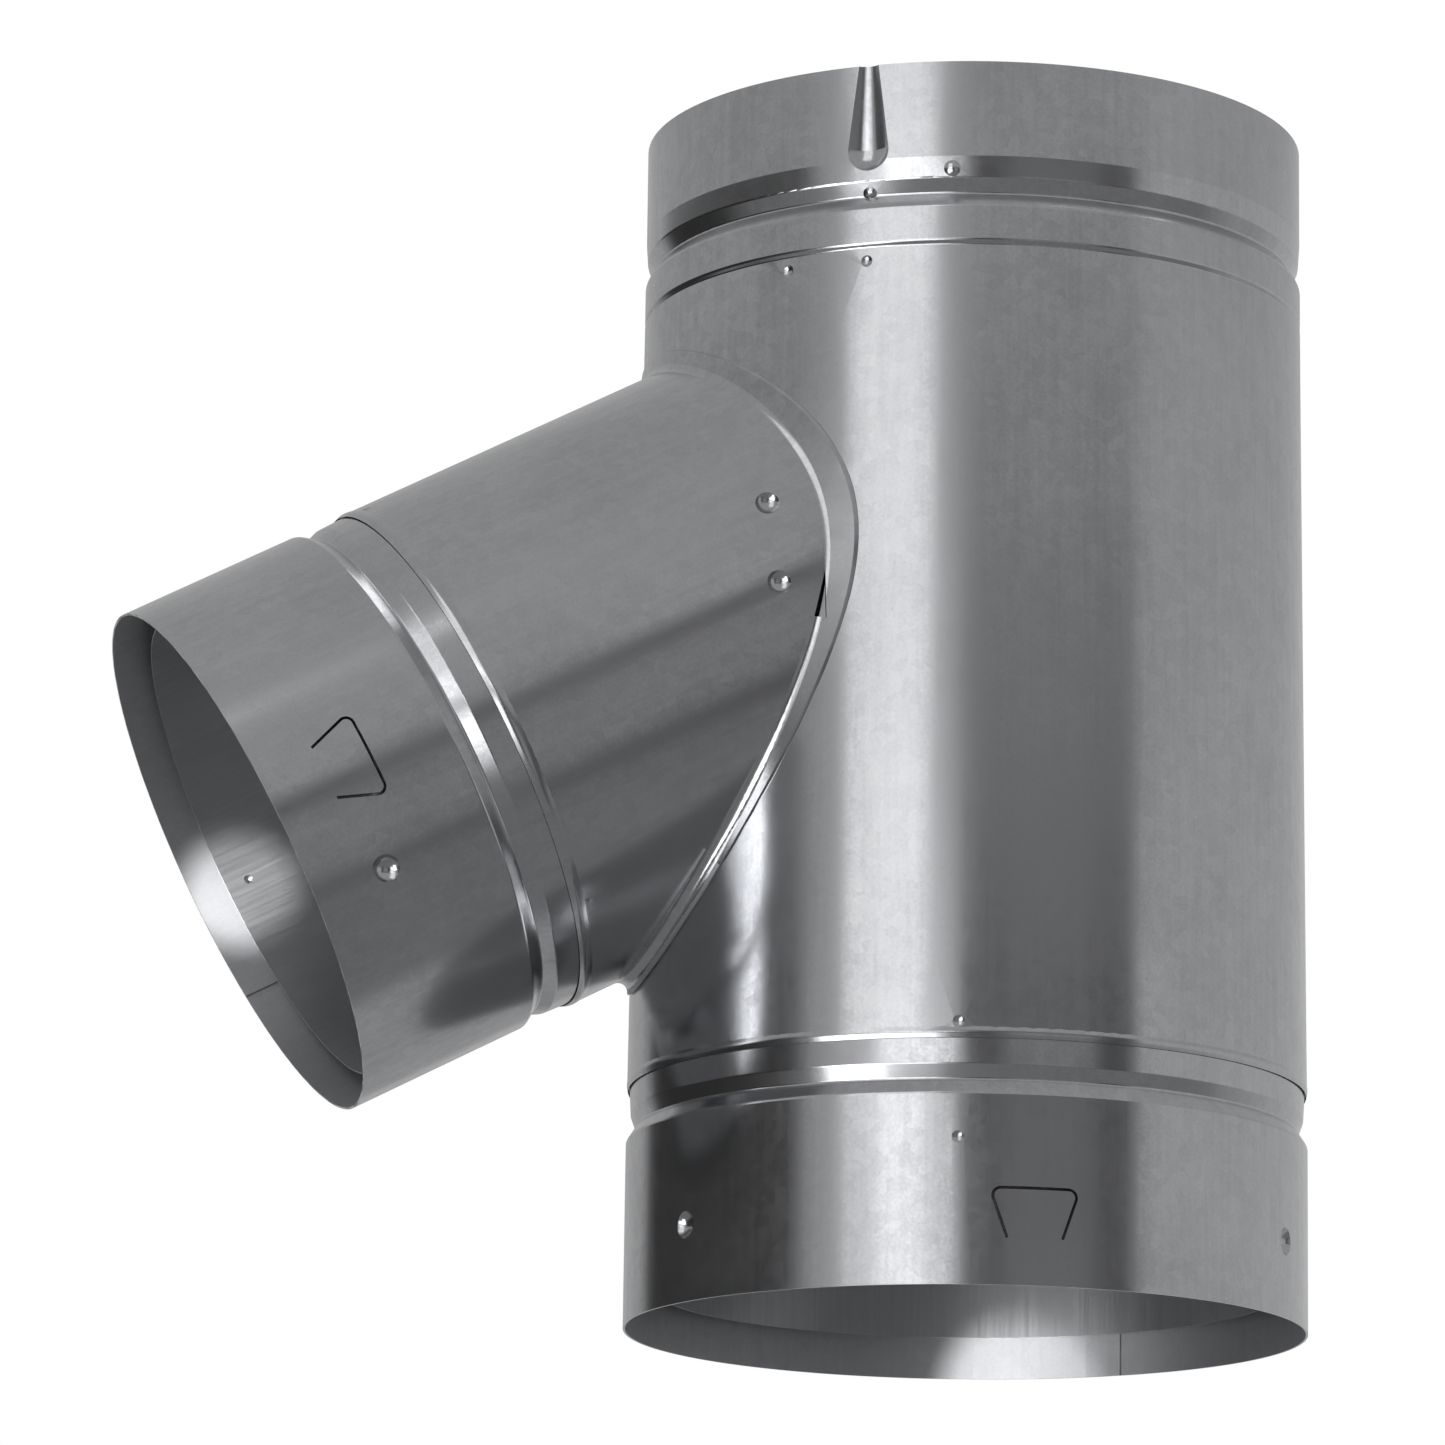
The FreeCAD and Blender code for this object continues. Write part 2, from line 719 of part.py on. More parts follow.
parts = {
    "run_body": make_run_body(),
    "bottom_collar": make_bottom_collar(),
    "top_collar": make_top_collar(),
    "branch_body": make_branch_body(),
    "branch_collar": make_branch_collar(),
    "saddle_stub": make_saddle_stub(),
    "run_liner": make_run_liner(),
    "branch_liner": make_branch_liner(),
    "liner_rivets": make_liner_rivets(),
}
parts.update(make_clips())

os.makedirs("parts", exist_ok=True)
for name, shape in parts.items():
    solids = shape.Solids
    print(name, "valid", shape.isValid(), "solids", len(solids), "volume", round(shape.Volume, 1))
    shape.exportStep(f"parts/{name}.step")
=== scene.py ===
# %% [markdown]
# # A double-wall gas vent wye
#
# This fitting joins a smaller vent branch into a straight run. Its outer shell is galvanised sheet
# steel, rolled into tubes and locked together, and inside it an aluminium liner carries the flue gas.
# The exact solids come from the CAD model, which is loaded as a fixed frame. What is left for this
# lesson is how the sheet looks: its zinc surface, the marks that forming leaves on it, and the light
# of the studio that it mirrors.

# %% Load the frame
import math

import bmesh
import bpy
from mathutils import Euler, Matrix, Vector


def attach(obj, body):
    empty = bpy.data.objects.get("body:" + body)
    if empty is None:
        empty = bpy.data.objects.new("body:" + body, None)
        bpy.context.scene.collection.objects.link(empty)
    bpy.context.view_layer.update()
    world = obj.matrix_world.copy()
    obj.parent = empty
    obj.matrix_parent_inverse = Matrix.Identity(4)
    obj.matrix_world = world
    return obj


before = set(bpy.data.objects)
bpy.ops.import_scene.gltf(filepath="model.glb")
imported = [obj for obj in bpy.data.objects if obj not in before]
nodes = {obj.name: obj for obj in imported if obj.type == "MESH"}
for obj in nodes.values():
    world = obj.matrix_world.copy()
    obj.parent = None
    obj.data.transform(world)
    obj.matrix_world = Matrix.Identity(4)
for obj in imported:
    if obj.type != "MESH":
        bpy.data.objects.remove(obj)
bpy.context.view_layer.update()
print("nodes:", len(nodes))

# %% [markdown]
# ## Sizes that the looks need
#
# Scenes are in metres, and sheet metal is spoken of in millimetres, so one factor turns one into the
# other. The branch leans 62 degrees from the run, and everything drawn along it, such as its closed
# edge or the streaks of its sheet, has to be turned by the same angle.

# %% Units and directions
MM = 0.001
BRANCH_ANGLE = math.radians(62.0)
BRANCH_RIM = Vector((-153.81, 0.0, 90.72)) * MM
print("branch rim at", [round(v, 4) for v in BRANCH_RIM])


# %% [markdown]
# ## Colours
#
# A colour picker gives sRGB hex values, and shaders want linear light. One function does the change
# for every hex value in the scene, with the numbers of the sRGB standard.

# %% Hex to linear
def linear(hex_colour):
    """An sRGB hex string as linear red, green, blue and an alpha of 1."""
    channels = [int(hex_colour[i:i + 2], 16) / 255 for i in (1, 3, 5)]
    return [c / 12.92 if c <= 0.04045 else ((c + 0.055) / 1.055) ** 2.4 for c in channels] + [1.0]


print("zinc grey:", [round(c, 3) for c in linear("#bcbdbf")])


# %% [markdown]
# ## A helper for shader nodes
#
# Every material below is a small graph. One function adds a node, sets its values and joins its
# inputs: a plain value is written on the socket, and another node's output is linked to it. The other
# helpers are made of it. One of them tells a tube's inside from its outside.

# %% Add a node
def add(tree, kind, settings=None, inputs=None):
    """Add a node, set its attributes, and fill or link its inputs."""
    node = tree.nodes.new(kind)
    for name, value in (settings or {}).items():
        setattr(node, name, value)
    for name, value in (inputs or {}).items():
        if isinstance(value, bpy.types.NodeSocket):
            tree.links.new(value, node.inputs[name])
        else:
            node.inputs[name].default_value = value
    return node


def blend(tree, first, second, share):
    """The first value, with a share of the second mixed into it."""
    mixed = add(tree, "ShaderNodeMix", inputs={"Factor": share, "A": first, "B": second})
    return mixed.outputs["Result"]


def two_tones(tree, value, dark, light):
    """A ramp between two hex colours, each given with the value where it is reached."""
    ramp = add(tree, "ShaderNodeValToRGB", inputs={"Fac": value})
    for stop, (position, hex_colour) in zip(ramp.color_ramp.elements, (dark, light)):
        stop.position = position
        stop.color = linear(hex_colour)
    return ramp.outputs["Color"]


def empty_material(name):
    """A material whose tree holds only an output, with that tree and that output."""
    material = bpy.data.materials.new(name)
    material.use_nodes = True
    material.node_tree.nodes.clear()
    output = material.node_tree.nodes.new("ShaderNodeOutputMaterial")
    return material, material.node_tree, output


def inner_side(tree, along, lean):
    """One on the faces that look towards the tube's own axis, and zero on its outside."""
    turned = Matrix.Rotation(-lean, 3, "Y")
    axis_x = (turned @ (BRANCH_RIM if lean else Vector())).x
    normal = add(tree, "ShaderNodeNewGeometry").outputs["Normal"]
    facing = add(
        tree, "ShaderNodeMapping", {"vector_type": "VECTOR"},
        {"Vector": normal, "Rotation": (0.0, -lean, 0.0)},
    )
    radial = add(
        tree, "ShaderNodeVectorMath", {"operation": "MULTIPLY_ADD"},
        {0: along, 1: (1.0, 1.0, 0.0), 2: (-axis_x, 0.0, 0.0)},
    )
    outward = add(
        tree, "ShaderNodeVectorMath", {"operation": "DOT_PRODUCT"},
        {0: radial.outputs["Vector"], 1: facing.outputs["Vector"]},
    )
    inward = add(
        tree, "ShaderNodeMath", {"operation": "LESS_THAN"}, {0: outward.outputs["Value"], 1: 0.0},
    )
    return inward.outputs["Value"]


print("node helpers ready")


# %% [markdown]
# ## Normals on a folded sheet
#
# The CAD model's meshes are smoothed by a normal at each corner. Along a folded seam a long thin
# triangle can end in a corner whose normal belongs to the fold's end, and the light then slides off
# the sheet. Where the smooth normal strays from the triangle's own, the triangle's own is used. The
# change is soft, between about 4 and 7 degrees, which are given below by their cosines.

# %% Normals for a folded sheet
STEADY_COSINE = 0.998
STRAY_COSINE = 0.992


def steady_normal(tree):
    """The smooth normal, and the face's own where the two differ by more than a few degrees."""
    geometry = add(tree, "ShaderNodeNewGeometry")
    smooth, flat = geometry.outputs["Normal"], geometry.outputs["True Normal"]
    agreement = add(
        tree, "ShaderNodeVectorMath", {"operation": "DOT_PRODUCT"}, {0: smooth, 1: flat},
    )
    stray = add(
        tree, "ShaderNodeMapRange",
        inputs={
            "Value": agreement.outputs["Value"], "From Min": STRAY_COSINE, "From Max": STEADY_COSINE,
            "To Min": 1.0, "To Max": 0.0,
        },
    )
    chosen = add(
        tree, "ShaderNodeMix", {"data_type": "VECTOR"},
        {0: stray.outputs["Result"], 4: smooth, 5: flat},
    )
    return chosen.outputs[1]


print("normal helper ready")


# %% [markdown]
# ## Hot-dip galvanised sheet
#
# The shell is steel sheet drawn through molten zinc. The zinc freezes into flat crystals, called
# spangle, a few millimetres across, and each mirrors the light a little differently. Rollers then
# flatten them, so the sheet is satin rather than sparkling. Over that lie faint streaks along the
# rolling direction, dull patches where hands and rollers have touched it, and slow waves, because
# thin sheet never rolls into a perfect tube. The waves make the edge of a reflection wander.
#
# A photograph of sheet would bring all of this along, but it would also bring its own light. Five
# procedural patterns on Object coordinates stay sharp at any size and carry no light of their own.
# Each scale is one over a real length, in metres, because the coordinates are in metres. Streaks are
# a noise whose place is squashed along the sheet, which draws it out.
#
# The inside of the shell is duller than its outside, because only the outside is rolled bright and
# wiped. The side is found from the geometry alone: a face whose normal points at the tube's axis is
# an inner one.

# %% Galvanised sheet
SPANGLE = 2.4 * MM
GRAIN = 0.6 * MM
STREAK = 1.6 * MM
SMUDGE = 38.0 * MM
WAVE = 46.0 * MM
STREAK_SQUASH = 0.05
STREAK_SHARE = 0.45
CRYSTAL_SHARE = 0.15
SMUDGE_SHARE = 0.4
GRAIN_DEPTH = 0.006 * MM
WAVE_DEPTH = 0.12 * MM
ROUGHER = 0.07
SMOOTHER = 0.05
INNER_DULLING = 0.3
LEAST_WORN = 0.3
MOST_WORN = 0.7


def galvanised_sheet(name, lean=0.0, zinc="#bcbdbf", dull="#a6a7aa", roughness=0.18, folded=False):
    """Zinc-coated sheet whose rolling direction is Z, leaned about Y by an angle."""
    material, tree, output = empty_material(name)
    place = add(tree, "ShaderNodeTexCoord").outputs["Object"]
    along = add(
        tree, "ShaderNodeMapping", inputs={"Vector": place, "Rotation": (0.0, -lean, 0.0)},
    ).outputs["Vector"]
    squashed = add(
        tree, "ShaderNodeMapping", inputs={"Vector": along, "Scale": (1.0, 1.0, STREAK_SQUASH)},
    ).outputs["Vector"]

    crystals = add(
        tree, "ShaderNodeTexVoronoi", {"feature": "F1"},
        {"Vector": place, "Scale": 1 / SPANGLE, "Randomness": 1.0},
    )
    crystal = add(tree, "ShaderNodeSeparateColor", inputs={"Color": crystals.outputs["Color"]})
    grain = add(
        tree, "ShaderNodeTexNoise",
        inputs={"Vector": place, "Scale": 1 / GRAIN, "Detail": 2.0, "Roughness": 0.6},
    )
    streaks = add(
        tree, "ShaderNodeTexNoise",
        inputs={"Vector": squashed, "Scale": 1 / STREAK, "Detail": 3.0, "Roughness": 0.55},
    )
    smudges = add(
        tree, "ShaderNodeTexNoise",
        inputs={
            "Vector": place, "Scale": 1 / SMUDGE, "Detail": 4.0, "Roughness": 0.6, "Distortion": 0.4,
        },
    )
    waves = add(
        tree, "ShaderNodeTexNoise",
        inputs={"Vector": along, "Scale": 1 / WAVE, "Detail": 1.5, "Roughness": 0.4},
    )
    fine = blend(tree, grain.outputs["Fac"], streaks.outputs["Fac"], STREAK_SHARE)
    surface = blend(tree, fine, crystal.outputs["Red"], CRYSTAL_SHARE)
    worn = blend(tree, surface, smudges.outputs["Fac"], SMUDGE_SHARE)

    gloss = add(
        tree, "ShaderNodeMapRange",
        inputs={
            "Value": worn, "From Min": LEAST_WORN, "From Max": MOST_WORN,
            "To Min": roughness + ROUGHER, "To Max": roughness - SMOOTHER,
        },
    )
    dulled = add(
        tree, "ShaderNodeMath", {"operation": "MULTIPLY_ADD"},
        {0: inner_side(tree, along, lean), 1: INNER_DULLING, 2: gloss.outputs["Result"]},
    )
    slow = add(
        tree, "ShaderNodeBump",
        inputs={"Strength": 1.0, "Distance": WAVE_DEPTH, "Height": waves.outputs["Fac"]},
    )
    if folded:
        tree.links.new(steady_normal(tree), slow.inputs["Normal"])
    quick = add(
        tree, "ShaderNodeBump",
        inputs={
            "Strength": 0.5, "Distance": GRAIN_DEPTH, "Height": surface,
            "Normal": slow.outputs["Normal"],
        },
    )
    metal = add(
        tree, "ShaderNodeBsdfPrincipled",
        inputs={
            "Base Color": two_tones(tree, worn, (0.30, dull), (0.66, zinc)),
            "Metallic": 1.0,
            "Roughness": dulled.outputs["Value"],
            "Normal": quick.outputs["Normal"],
        },
    )
    tree.links.new(metal.outputs["BSDF"], output.inputs["Surface"])
    return material


run_zinc = galvanised_sheet("galvanised_sheet_run")
body_zinc = galvanised_sheet("galvanised_sheet_folded", folded=True)
branch_zinc = galvanised_sheet("galvanised_sheet_branch", lean=BRANCH_ANGLE)
clip_zinc = galvanised_sheet("galvanised_strip", zinc="#b0b1b3", dull="#929396", roughness=0.36)
print("sheet materials:", run_zinc.name, body_zinc.name, branch_zinc.name, clip_zinc.name)


# %% [markdown]
# ## Mill-finish aluminium
#
# The liner is plain aluminium sheet as it leaves the mill: paler than zinc, with no crystals, and
# with fine lines from the rolls along its length. Flue liners are handled and packed bare, so it has
# soft dull patches too. It needs only the lines and the patches.

# %% Aluminium sheet
ROLL_LINE = 0.8 * MM
LINE_SQUASH = 0.02
LINE_DEPTH = 0.02 * MM
PATCH_SHARE = 0.5
DULLER = 0.08
GLOSSIER = 0.04


def mill_aluminium(name, lean=0.0, roughness=0.3):
    """Aluminium sheet with roll lines along Z, leaned about Y by an angle."""
    material, tree, output = empty_material(name)
    place = add(tree, "ShaderNodeTexCoord").outputs["Object"]
    along = add(
        tree, "ShaderNodeMapping", inputs={"Vector": place, "Rotation": (0.0, -lean, 0.0)},
    ).outputs["Vector"]
    squashed = add(
        tree, "ShaderNodeMapping", inputs={"Vector": along, "Scale": (1.0, 1.0, LINE_SQUASH)},
    ).outputs["Vector"]
    lines = add(
        tree, "ShaderNodeTexNoise",
        inputs={"Vector": squashed, "Scale": 1 / ROLL_LINE, "Detail": 2.0, "Roughness": 0.5},
    )
    dull_patches = add(
        tree, "ShaderNodeTexNoise",
        inputs={"Vector": place, "Scale": 1 / SMUDGE, "Detail": 3.0, "Roughness": 0.55},
    )
    worn = blend(tree, lines.outputs["Fac"], dull_patches.outputs["Fac"], PATCH_SHARE)
    gloss = add(
        tree, "ShaderNodeMapRange",
        inputs={
            "Value": worn, "From Min": LEAST_WORN, "From Max": MOST_WORN,
            "To Min": roughness + DULLER, "To Max": roughness - GLOSSIER,
        },
    )
    dents = add(
        tree, "ShaderNodeBump",
        inputs={"Strength": 0.4, "Distance": LINE_DEPTH, "Height": lines.outputs["Fac"]},
    )
    metal = add(
        tree, "ShaderNodeBsdfPrincipled",
        inputs={
            "Base Color": two_tones(tree, worn, (LEAST_WORN, "#c2c3c5"), (MOST_WORN, "#d6d7d9")),
            "Metallic": 1.0,
            "Roughness": gloss.outputs["Result"],
            "Normal": dents.outputs["Normal"],
        },
    )
    tree.links.new(metal.outputs["BSDF"], output.inputs["Surface"])
    return material


run_aluminium = mill_aluminium("mill_aluminium_run")
branch_aluminium = mill_aluminium("mill_aluminium_branch", lean=BRANCH_ANGLE)
rivet_aluminium = mill_aluminium("rivet_aluminium", roughness=0.24)
print("liner materials:", run_aluminium.name, branch_aluminium.name, rivet_aluminium.name)

# %% [markdown]
# ## Give each part its sheet
#
# A part from the CAD model keeps its mesh, and only its material slot changes. Parts that lie along
# the branch get the sheet whose streaks run that way, and the run's body, which has a folded seam,
# gets the one with steadied normals.

# %% Assign the materials
finishes = {
    "run_body": body_zinc,
    "bottom_collar": run_zinc,
    "top_collar": run_zinc,
    "branch_body": branch_zinc,
    "branch_collar": branch_zinc,
    "saddle_stub": branch_zinc,
    "run_liner": run_aluminium,
    "branch_liner": branch_aluminium,
    "liner_rivets": rivet_aluminium,
}
for name, node in nodes.items():
    for material_slot in node.material_slots:
        material_slot.material = finishes.get(name, clip_zinc)
print("finished:", sorted(nodes))

# %% [markdown]
# ## The closed edges of the bodies
#
# Where a body laps over its collar, the last millimetre of its sheet is rolled in by a few tenths of
# a millimetre, so that it hugs the collar's neck. That is too fine for the CAD model, but it catches
# the light as a bright line all round. The piece is a thin ring: a section of a few points, spun
# round the tube's axis, that sits on the body's sharp edge. Each point says how far it stands proud
# of the body and how far along the tube it lies from the body's edge, in millimetres.
#
# Spinning leaves the edges and faces in an order that changes from run to run. They are put in the
# order of their corners, so that the mesh is written the same way each time.

# %% Closed edges
EDGE_STEPS = 192
CREASE = math.radians(30.0)
RUN_BODY = {"radius": 70.40 * MM, "start": 50.0 * MM}
BRANCH_BODY = {"radius": 55.70 * MM, "start": 50.5 * MM}
UNDER_EDGE = [(-0.20, 1.2), (-0.28, -0.3)]
RUN_EDGE = [(-0.16, -0.62), (-0.01, -0.04), (0.06, 0.25), (0.085, 0.6), (0.06, 1.0), (-0.03, 1.6)]
BRANCH_EDGE = [(-0.26, -0.64), (-0.02, -0.04), (0.15, 0.38), (0.18, 0.7), (0.13, 1.3), (-0.03, 2.2)]


def settle_order(shape):
    """Put the edges and faces of a shape in the order of their corners."""
    shape.verts.index_update()

    def order(part):
        """A number made of the part's first and last corner."""
        corners = [vert.index for vert in part.verts]
        return min(corners) * len(shape.verts) + max(corners)

    shape.edges.sort(key=order)
    shape.faces.sort(key=order)


def closed_edge(name, body, section, place, material):
    """A thin ring over a body's edge, whose section is given as (proud, along) in millimetres."""
    shape = bmesh.new()
    corners = [
        shape.verts.new((body["radius"] + proud * MM, 0.0, body["start"] + along * MM))
        for proud, along in section + UNDER_EDGE
    ]
    loop = [shape.edges.new((a, b)) for a, b in zip(corners, corners[1:] + corners[:1])]
    bmesh.ops.spin(
        shape, geom=corners + loop, cent=(0.0, 0.0, 0.0), axis=(0.0, 0.0, 1.0), angle=math.tau,
        steps=EDGE_STEPS, use_merge=True,
    )
    bmesh.ops.recalc_face_normals(shape, faces=shape.faces)
    settle_order(shape)
    for face in shape.faces:
        face.smooth = True
    for edge in shape.edges:
        edge.smooth = edge.calc_face_angle(0.0) < CREASE
    shape.transform(place)
    mesh = bpy.data.meshes.new(name)
    shape.to_mesh(mesh)
    shape.free()
    mesh.materials.append(material)
    piece = bpy.data.objects.new(name, mesh)
    bpy.context.scene.collection.objects.link(piece)
    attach(piece, "root")
    return piece


along_branch = Matrix.Translation(BRANCH_RIM) @ Matrix.Rotation(BRANCH_ANGLE, 4, "Y")
closed_edges = [
    closed_edge("run_closed_edge", RUN_BODY, RUN_EDGE, Matrix(), run_zinc),
    closed_edge("branch_closed_edge", BRANCH_BODY, BRANCH_EDGE, along_branch, branch_zinc),
]
print("closed edges:", [(piece.name, len(piece.data.polygons)) for piece in closed_edges])

# %% [markdown]
# ## Floor
#
# The fitting stands on a pale floor. The studio camera looks up at it from below, as in a catalogue
# picture of a part that hangs from a thread, and there the floor must not be in the way. Its back is
# left clear, so the floor shows only from above. It lies a hair below the rim.

# %% Pale floor
FLOOR_SIZE = 12.0
FLOOR_DROP = 0.2 * MM
floor_mesh = bpy.data.meshes.new("floor")
shape = bmesh.new()
bmesh.ops.create_grid(shape, x_segments=1, y_segments=1, size=FLOOR_SIZE / 2)
shape.to_mesh(floor_mesh)
shape.free()
floor = bpy.data.objects.new("floor", floor_mesh)
bpy.context.scene.collection.objects.link(floor)
floor.location.z = -FLOOR_DROP
floor.visible_shadow = False
floor.visible_glossy = False
floor.visible_diffuse = False
paper, tree, output = empty_material("pale_paper")
matt = add(tree, "ShaderNodeBsdfDiffuse", inputs={"Color": linear("#f2f2f2")})
clear = add(tree, "ShaderNodeBsdfTransparent")
seen_from = add(tree, "ShaderNodeNewGeometry")
one_way = add(tree, "ShaderNodeMixShader", inputs={0: seen_from.outputs["Backfacing"]})
tree.links.new(matt.outputs["BSDF"], one_way.inputs[1])
tree.links.new(clear.outputs["BSDF"], one_way.inputs[2])
tree.links.new(one_way.outputs["Shader"], output.inputs["Surface"])
floor.data.materials.append(paper)
print("floor:", FLOOR_SIZE, "m")

# %% [markdown]
# ## Studio
#
# Polished and satin metal has no colour of its own: it shows the room. So the room is designed like a
# picture. It is an even grey above and a darker table below. Dark cards stand low, from the far left
# to the right of the camera, and make the deep bands beside the long highlight. A paler card farther
# right lifts the run's right side, and a lighter one among the dark cards keeps the branch's middle
# from going black. Low on the left lies a pool of light on the table, with a brighter end. The edges
# and grooves that face down mirror the pool, and the branch's underside throws its bright end onto
# the run as a narrow strip. A small bright card above the camera's left shows only in the bands that
# tilt down a little beside the grooves. Behind the fitting the camera sees plain white.
#
# The world's colour is picked by direction: how far round from the camera, with the right positive,
# and how high. Two windows with soft ends, one round and one high, make each card. A row below says
# what the card is, where it goes from and to, how soft its ends are, all in degrees, and its level. A
# later card lies over an earlier one.

# %% World with its cards
CAMERA_SIDE = math.radians(-103.2)
ROOM = 0.50
TABLE = 0.26
TABLE_EDGE = (math.radians(-18.0), math.radians(-10.0))
CARDS = [
    ("paler card on the right", (60.0, 178.0, -8.0, 14.5, 2.0, 3.0), 0.60),
    ("paler table on the right", (100.0, 178.0, -80.0, -14.0, 8.0, 6.0), 0.48),
    ("dark card on the right", (-4.0, 58.0, -22.0, 13.6, 1.5, 1.6), 0.09),
    ("dark card on the far left", (-136.0, -57.0, -24.0, 13.2, 5.0, 1.8), 0.04),
    ("dark card below the highlight", (-58.0, -4.0, -24.0, 3.0, 3.0, 1.5), 0.08),
    ("lighter card for the branch", (12.0, 44.0, -19.0, 8.0, 4.0, 4.0), 0.35),
    ("pool of light", (-50.0, -9.0, -27.0, -4.0, 2.0, 2.0), 3.0),
    ("bright end of the pool", (-49.0, -32.0, -36.0, -2.0, 2.0, 2.0), 5.2),
    ("small bright card", (-30.0, -3.0, 1.5, 9.0, 2.0, 1.0), 2.2),
]
world = bpy.data.worlds.new("studio")
bpy.context.scene.world = world
world.use_nodes = True
tree = world.node_tree
tree.nodes.clear()


def window(value, low, high, soft):
    """One between two values, and zero outside them, with soft ends."""
    rise = add(
        tree, "ShaderNodeMapRange", {"interpolation_type": "SMOOTHSTEP"},
        {"Value": value, "From Min": low - soft, "From Max": low + soft},
    )
    fall = add(
        tree, "ShaderNodeMapRange", {"interpolation_type": "SMOOTHSTEP"},
        {
            "Value": value, "From Min": high - soft, "From Max": high + soft,
            "To Min": 1.0, "To Max": 0.0,
        },
    )
    both = add(
        tree, "ShaderNodeMath", {"operation": "MULTIPLY"},
        {0: rise.outputs["Result"], 1: fall.outputs["Result"]},
    )
    return both.outputs["Value"]


def card(round_from, round_to, low, high, soft_round, soft_high):
    """A soft-edged rectangle: degrees round from the camera, and degrees above the horizon."""
    across = window(turn, *(math.radians(v) for v in (round_from, round_to, soft_round)))
    tall = window(height, *(math.radians(v) for v in (low, high, soft_high)))
    both = add(tree, "ShaderNodeMath", {"operation": "MULTIPLY"}, {0: across, 1: tall})
    return both.outputs["Value"]


look = add(tree, "ShaderNodeTexCoord").outputs["Generated"]
facing = add(
    tree, "ShaderNodeMapping", {"vector_type": "VECTOR"},
    {"Vector": look, "Rotation": (0.0, 0.0, -CAMERA_SIDE)},
)
axes = add(tree, "ShaderNodeSeparateXYZ", inputs={"Vector": facing.outputs["Vector"]})
turn = add(
    tree, "ShaderNodeMath", {"operation": "ARCTAN2"}, {0: axes.outputs["Y"], 1: axes.outputs["X"]},
).outputs["Value"]
height = add(
    tree, "ShaderNodeMath", {"operation": "ARCSINE"}, {0: axes.outputs["Z"]},
).outputs["Value"]

room = add(
    tree, "ShaderNodeMapRange", {"interpolation_type": "SMOOTHSTEP"},
    {
        "Value": height, "From Min": TABLE_EDGE[0], "From Max": TABLE_EDGE[1],
        "To Min": TABLE, "To Max": ROOM,
    },
).outputs["Result"]
for _, place, level in CARDS:
    room = blend(tree, room, level, card(*place))
grey = add(tree, "ShaderNodeCombineColor", inputs={"Red": room, "Green": room, "Blue": room})
unseen = add(tree, "ShaderNodeBackground", inputs={"Color": grey.outputs["Color"], "Strength": 1.0})
white = add(tree, "ShaderNodeBackground", inputs={"Color": (1.0, 1.0, 1.0, 1.0), "Strength": 1.0})
ray = add(tree, "ShaderNodeLightPath")
either = add(tree, "ShaderNodeMixShader", inputs={0: ray.outputs["Is Camera Ray"]})
tree.links.new(unseen.outputs["Background"], either.inputs[1])
tree.links.new(white.outputs["Background"], either.inputs[2])
add(tree, "ShaderNodeOutputWorld", inputs={"Surface": either.outputs["Shader"]})
print("cards:", [name for name, _, _ in CARDS])


# %% [markdown]
# ## Softboxes
#
# A softbox is an area lamp. Its place is given as degrees round from the camera and above the
# horizon, because that is how a reflection is planned, and it is then turned to face the fitting. A
# tall one stands to the left of the camera and makes the long highlight down the run, and one above
# and behind keeps the back and the top from going dull.

# %% Softboxes
MIDDLE = Vector((0.0, 0.0, 0.127))


def softbox(name, round_deg, high_deg, distance, width, tall, watts):
    """An area lamp at a direction from the fitting's middle, facing it."""
    data = bpy.data.lights.new(name, "AREA")
    data.shape = "RECTANGLE"
    data.size = width
    data.size_y = tall
    data.energy = watts
    lamp = bpy.data.objects.new(name, data)
    bpy.context.scene.collection.objects.link(lamp)
    azimuth = CAMERA_SIDE + math.radians(round_deg)
    high = math.radians(high_deg)
    level = math.cos(high)
    way = Vector((math.cos(azimuth) * level, math.sin(azimuth) * level, math.sin(high)))
    lamp.location = MIDDLE + way * distance
    lamp.rotation_euler = way.to_track_quat("Z", "Y").to_euler()
    return lamp


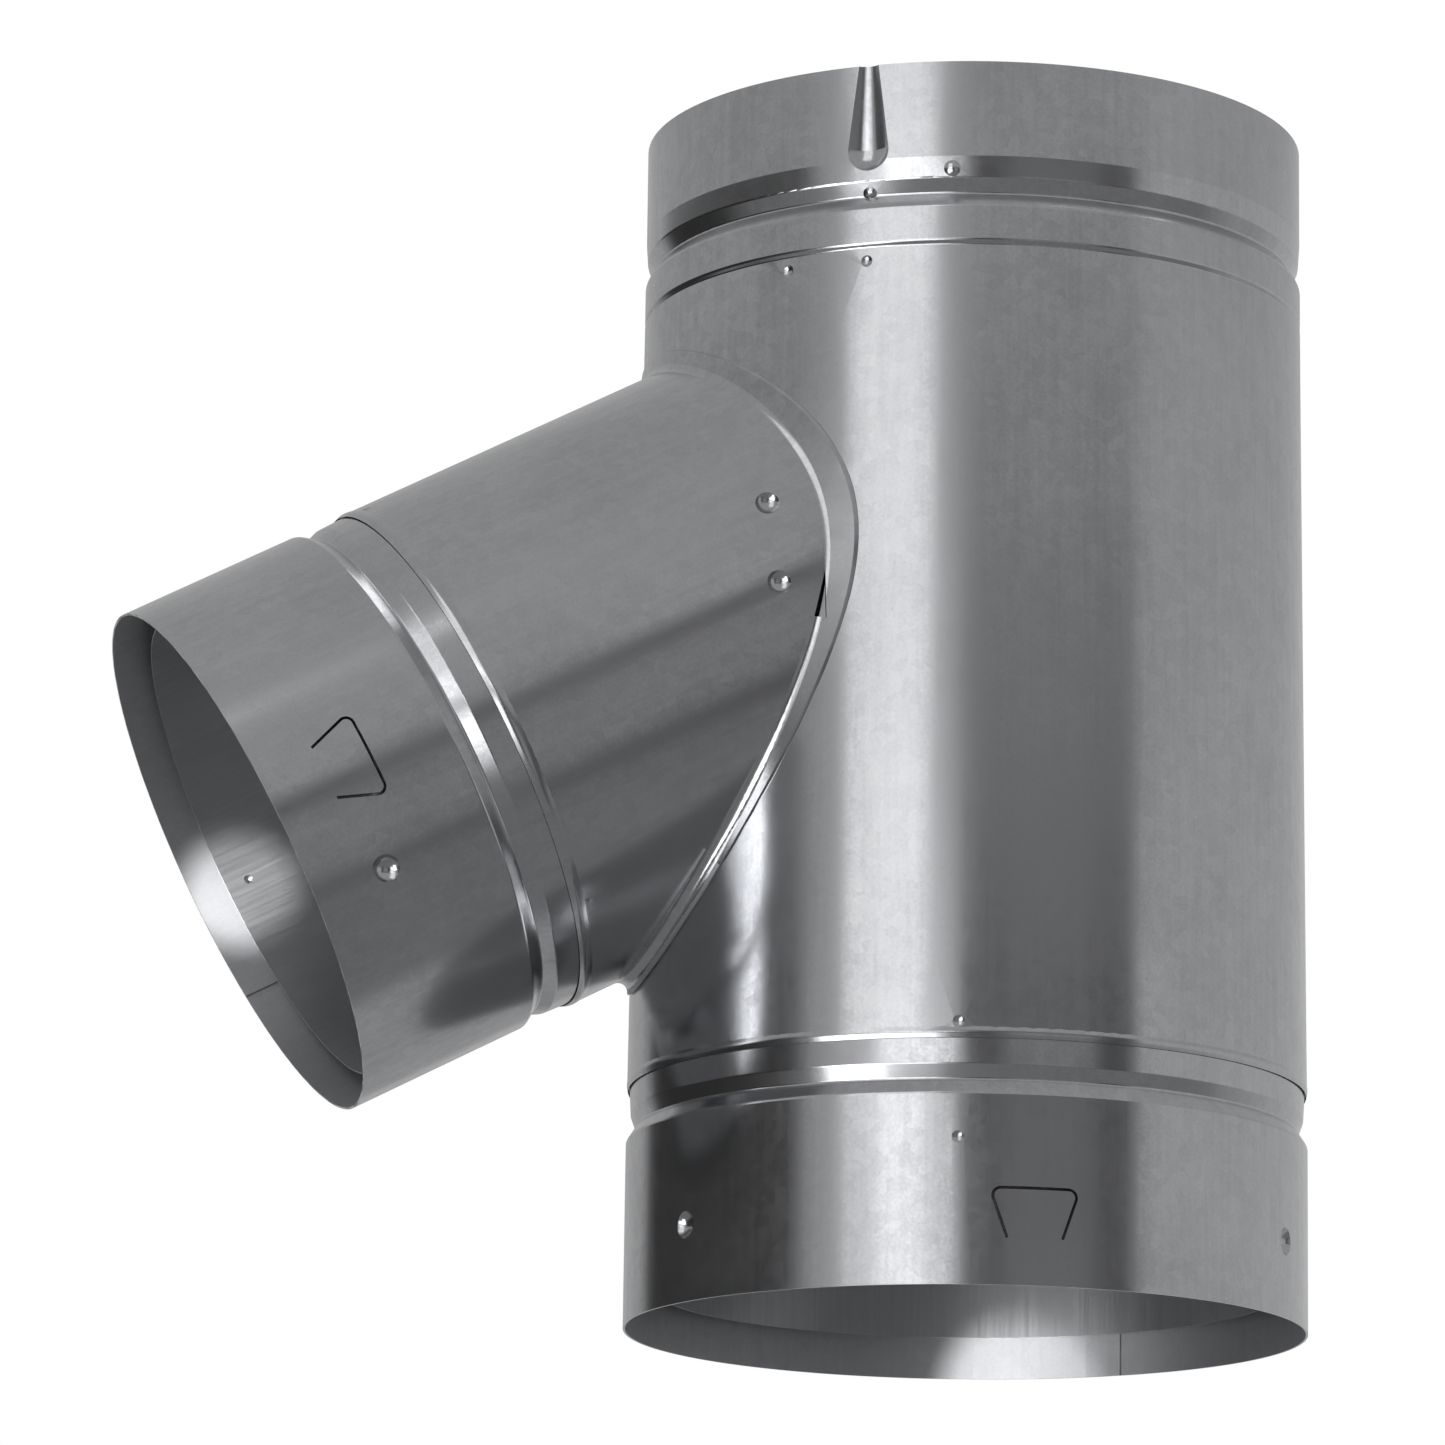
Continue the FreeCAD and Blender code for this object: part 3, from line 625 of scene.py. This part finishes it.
key = softbox(
    "key_softbox", round_deg=-27.5, high_deg=27.0, distance=2.2, width=1.14, tall=1.80, watts=6.25,
)
top = softbox(
    "top_softbox", round_deg=140.0, high_deg=70.0, distance=2.4, width=1.0, tall=1.0, watts=5.0,
)
print("softboxes:", key.name, top.name)


# %% [markdown]
# ## Mouth spots
#
# The picture shows a short bright zone inside each mouth, where light falls in through the opening.
# The softboxes can't reach there, so each mouth gets a narrow spot with a small bulb, aimed at the
# far wall just inside the rim. Its cone is only as wide as the lit zone.

# %% Mouth spots
BULB = 4.0 * MM


def spot(name, place, target, cone_deg, soft_edge, watts):
    """A narrow spot with a small bulb, from a place towards a target, both in millimetres."""
    data = bpy.data.lights.new(name, "SPOT")
    data.spot_size = math.radians(cone_deg)
    data.spot_blend = soft_edge
    data.shadow_soft_size = BULB
    data.energy = watts
    lamp = bpy.data.objects.new(name, data)
    bpy.context.scene.collection.objects.link(lamp)
    lamp.location = Vector(place) * MM
    lamp.rotation_euler = (Vector(place) - Vector(target)).to_track_quat("Z", "Y").to_euler()
    lamp.visible_camera = False
    return lamp


run_spot = spot(
    "run_mouth_spot", place=(-75.0, -190.0, -110.0), target=(28.5, 66.0, -3.5),
    cone_deg=7.2, soft_edge=0.2, watts=4.6,
)
branch_spot = spot(
    "branch_mouth_spot", place=(-248.0, -224.0, 74.0), target=(-145.0, 55.0, 95.5),
    cone_deg=5.0, soft_edge=0.25, watts=5.4,
)
print("spots:", run_spot.name, branch_spot.name)

# %% [markdown]
# ## Camera
#
# A long lens far away, a little below the fitting and tilted up. Its place was found by fitting the
# rims, the grooves and the outline of the real thing.

# %% Camera
camera_data = bpy.data.cameras.new("catalogue_camera")
camera_data.sensor_width = 36.0
camera_data.lens = 188.812
camera_data.clip_start = 0.1
camera_data.clip_end = 20.0
camera = bpy.data.objects.new("catalogue_camera", camera_data)
bpy.context.scene.collection.objects.link(camera)
camera.location = (-0.35468, -1.51053, -0.21721)
camera.rotation_euler = Euler([math.radians(v) for v in (102.5594, -0.8044, -11.4829)])
bpy.context.scene.camera = camera
bpy.context.scene.view_settings.view_transform = "Standard"
print("camera at", [round(v, 4) for v in camera.location])
